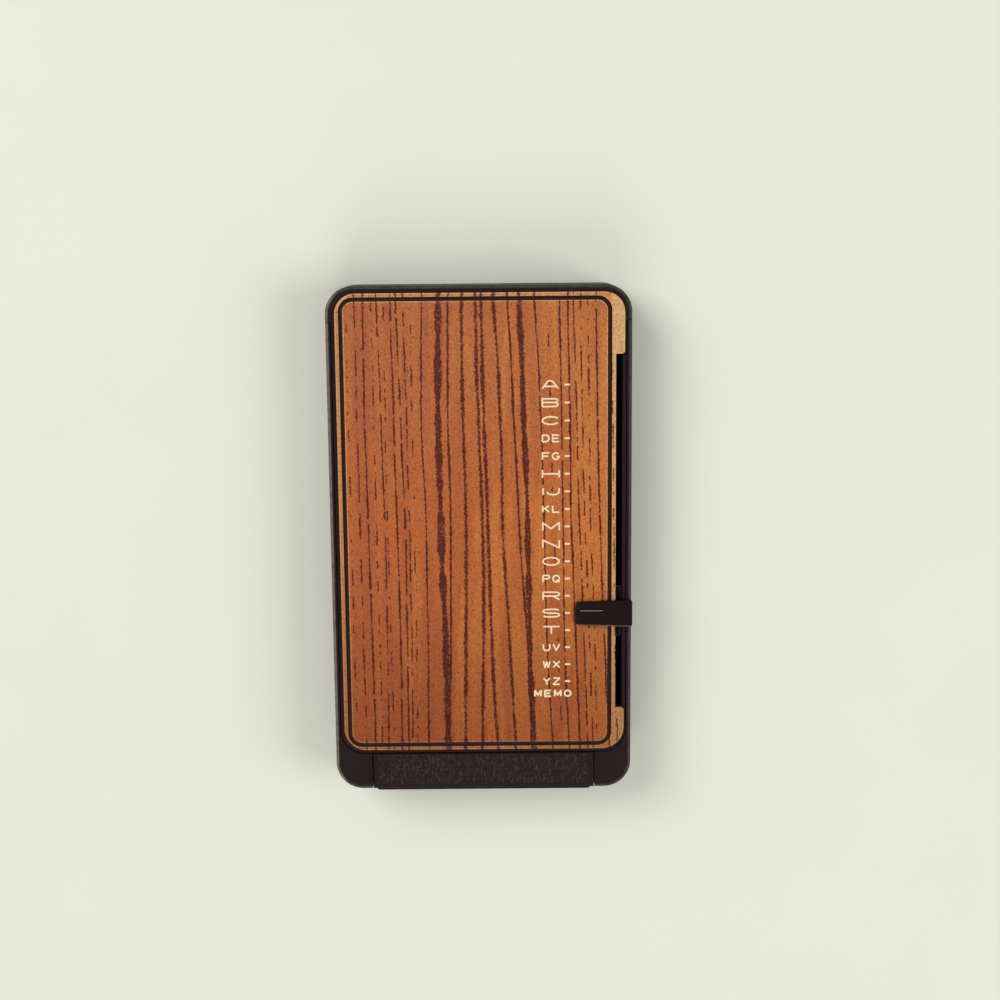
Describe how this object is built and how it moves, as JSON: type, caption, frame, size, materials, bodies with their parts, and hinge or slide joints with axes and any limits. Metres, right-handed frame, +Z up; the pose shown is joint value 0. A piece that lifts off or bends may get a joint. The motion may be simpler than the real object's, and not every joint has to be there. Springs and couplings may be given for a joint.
{
  "type": "pop up telephone index",
  "caption": "Flat desk case with a wood-grain lid that springs open at the index card chosen by a sliding pointer, with a memo pad and pen space.",
  "frame": {"origin": "on the table, under the middle of the case", "axes": "+X to the right, +Y to the hinge at the rear, +Z up; the lid is shut and the selector stands at S"},
  "size_m": [0.1103, 0.1876, 0.0242],
  "materials": {
    "case_plastic": "satin moulded plastic, very dark brown",
    "bar_plastic": "moulded plastic with a leather grain on top, very dark brown",
    "black_plastic": "semi-gloss black plastic",
    "white_plastic": "natural acetal",
    "wood_grain": "printed oak grain with cream lettering, satin lacquer",
    "card_stock": "ruled cream card, matt",
    "paper": "white memo paper, matt",
    "grey_board": "grey chipboard",
    "zinc_steel": "zinc-plated steel",
    "bright_steel": "bright drawn steel",
    "spring_steel": "spring steel",
    "foot_rubber": "black rubber"
  },
  "bodies": {
    "base": {"base_tray": "case_plastic", "foot_front_left": "foot_rubber", "foot_front_right": "foot_rubber", "foot_rear_left": "foot_rubber", "foot_rear_right": "foot_rubber", "hinge_bracket": "zinc_steel", "bracket_rivets": "zinc_steel", "hinge_rod": "bright_steel", "rod_clips": "bright_steel", "lift_spring_left": "spring_steel", "lift_spring_right": "spring_steel", "card_ring_left": "bright_steel", "card_ring_right": "bright_steel", "ring_hubs": "white_plastic", "memo_board": "grey_board", "memo_pad": "paper", "bar_pivot_pin": "bright_steel", "bar_spring_left": "spring_steel", "bar_spring_right": "spring_steel"},
    "cover": {"cover_frame": "case_plastic", "wood_plate": "wood_grain", "selector_rack": "white_plastic", "cover_catch": "zinc_steel", "catch_rivets": "zinc_steel"},
    "selector": {"selector_pointer": "black_plastic", "selector_carriage": "black_plastic", "card_lifter": "bright_steel", "detent_spring": "spring_steel"},
    "push_bar": {"push_bar": "bar_plastic", "latch_hook": "zinc_steel", "hook_rivets": "zinc_steel"},
    "card_a": {"card_a": "card_stock"},
    "card_b": {"card_b": "card_stock"},
    "card_c": {"card_c": "card_stock"},
    "card_de": {"card_de": "card_stock"},
    "card_fg": {"card_fg": "card_stock"},
    "card_h": {"card_h": "card_stock"},
    "card_ij": {"card_ij": "card_stock"},
    "card_kl": {"card_kl": "card_stock"},
    "card_m": {"card_m": "card_stock"},
    "card_n": {"card_n": "card_stock"},
    "card_o": {"card_o": "card_stock"},
    "card_pq": {"card_pq": "card_stock"},
    "card_r": {"card_r": "card_stock"},
    "card_s": {"card_s": "card_stock"},
    "card_t": {"card_t": "card_stock"},
    "card_uv": {"card_uv": "card_stock"},
    "card_wx": {"card_wx": "card_stock"},
    "card_yz": {"card_yz": "card_stock"}
  },
  "joints": [
    {"name": "cover_hinge", "type": "hinge", "parent": "base", "child": "cover", "pos_m": [0, 0.0854, 0.0139], "axis": [-1, 0, 0], "range_deg": [0, 75], "deforming": ["lift_spring_left", "lift_spring_right"]},
    {"name": "selector_slide", "type": "slide", "parent": "cover", "child": "selector", "axis": [0, 1, 0], "range_m": [-0.03056, 0.08424], "deforming": ["detent_spring"]},
    {"name": "push_bar_rock", "type": "hinge", "parent": "base", "child": "push_bar", "pos_m": [0, -0.0821, 0.007], "axis": [1, 0, 0], "range_deg": [0, 6.5], "stiffness_Nm_per_rad": 0.15, "springref_deg": -8.59, "deforming": ["bar_spring_left", "bar_spring_right"]},
    {"name": "card_a_hinge", "type": "hinge", "parent": "base", "child": "card_a", "pos_m": [0, 0.0854, 0.0139], "axis": [-1, 0, 0], "range_deg": [0, 75]},
    {"name": "card_b_hinge", "type": "hinge", "parent": "base", "child": "card_b", "pos_m": [0, 0.0854, 0.0139], "axis": [-1, 0, 0], "range_deg": [0, 75]},
    {"name": "card_c_hinge", "type": "hinge", "parent": "base", "child": "card_c", "pos_m": [0, 0.0854, 0.0139], "axis": [-1, 0, 0], "range_deg": [0, 75]},
    {"name": "card_de_hinge", "type": "hinge", "parent": "base", "child": "card_de", "pos_m": [0, 0.0854, 0.0139], "axis": [-1, 0, 0], "range_deg": [0, 75]},
    {"name": "card_fg_hinge", "type": "hinge", "parent": "base", "child": "card_fg", "pos_m": [0, 0.0854, 0.0139], "axis": [-1, 0, 0], "range_deg": [0, 75]},
    {"name": "card_h_hinge", "type": "hinge", "parent": "base", "child": "card_h", "pos_m": [0, 0.0854, 0.0139], "axis": [-1, 0, 0], "range_deg": [0, 75]},
    {"name": "card_ij_hinge", "type": "hinge", "parent": "base", "child": "card_ij", "pos_m": [0, 0.0854, 0.0139], "axis": [-1, 0, 0], "range_deg": [0, 75]},
    {"name": "card_kl_hinge", "type": "hinge", "parent": "base", "child": "card_kl", "pos_m": [0, 0.0854, 0.0139], "axis": [-1, 0, 0], "range_deg": [0, 75]},
    {"name": "card_m_hinge", "type": "hinge", "parent": "base", "child": "card_m", "pos_m": [0, 0.0854, 0.0139], "axis": [-1, 0, 0], "range_deg": [0, 75]},
    {"name": "card_n_hinge", "type": "hinge", "parent": "base", "child": "card_n", "pos_m": [0, 0.0854, 0.0139], "axis": [-1, 0, 0], "range_deg": [0, 75]},
    {"name": "card_o_hinge", "type": "hinge", "parent": "base", "child": "card_o", "pos_m": [0, 0.0854, 0.0139], "axis": [-1, 0, 0], "range_deg": [0, 75]},
    {"name": "card_pq_hinge", "type": "hinge", "parent": "base", "child": "card_pq", "pos_m": [0, 0.0854, 0.0139], "axis": [-1, 0, 0], "range_deg": [0, 75]},
    {"name": "card_r_hinge", "type": "hinge", "parent": "base", "child": "card_r", "pos_m": [0, 0.0854, 0.0139], "axis": [-1, 0, 0], "range_deg": [0, 75]},
    {"name": "card_s_hinge", "type": "hinge", "parent": "base", "child": "card_s", "pos_m": [0, 0.0854, 0.0139], "axis": [-1, 0, 0], "range_deg": [0, 75]},
    {"name": "card_t_hinge", "type": "hinge", "parent": "base", "child": "card_t", "pos_m": [0, 0.0854, 0.0139], "axis": [-1, 0, 0], "range_deg": [0, 75]},
    {"name": "card_uv_hinge", "type": "hinge", "parent": "base", "child": "card_uv", "pos_m": [0, 0.0854, 0.0139], "axis": [-1, 0, 0], "range_deg": [0, 75]},
    {"name": "card_wx_hinge", "type": "hinge", "parent": "base", "child": "card_wx", "pos_m": [0, 0.0854, 0.0139], "axis": [-1, 0, 0], "range_deg": [0, 75]},
    {"name": "card_yz_hinge", "type": "hinge", "parent": "base", "child": "card_yz", "pos_m": [0, 0.0854, 0.0139], "axis": [-1, 0, 0], "range_deg": [0, 75]}
  ],
  "couplings": [
    {"joint": "card_a_hinge", "follows": "cover_hinge", "ratio": 1},
    {"joint": "card_b_hinge", "follows": "cover_hinge", "ratio": 1},
    {"joint": "card_c_hinge", "follows": "cover_hinge", "ratio": 1},
    {"joint": "card_de_hinge", "follows": "cover_hinge", "ratio": 1},
    {"joint": "card_fg_hinge", "follows": "cover_hinge", "ratio": 1},
    {"joint": "card_h_hinge", "follows": "cover_hinge", "ratio": 1},
    {"joint": "card_ij_hinge", "follows": "cover_hinge", "ratio": 1},
    {"joint": "card_kl_hinge", "follows": "cover_hinge", "ratio": 1},
    {"joint": "card_m_hinge", "follows": "cover_hinge", "ratio": 1},
    {"joint": "card_n_hinge", "follows": "cover_hinge", "ratio": 1},
    {"joint": "card_o_hinge", "follows": "cover_hinge", "ratio": 1},
    {"joint": "card_pq_hinge", "follows": "cover_hinge", "ratio": 1},
    {"joint": "card_r_hinge", "follows": "cover_hinge", "ratio": 1},
    {"joint": "card_s_hinge", "follows": "cover_hinge", "ratio": 0.04},
    {"joint": "card_t_hinge", "follows": "cover_hinge", "ratio": 0.032},
    {"joint": "card_uv_hinge", "follows": "cover_hinge", "ratio": 0.024},
    {"joint": "card_wx_hinge", "follows": "cover_hinge", "ratio": 0.016},
    {"joint": "card_yz_hinge", "follows": "cover_hinge", "ratio": 0.008}
  ]
}
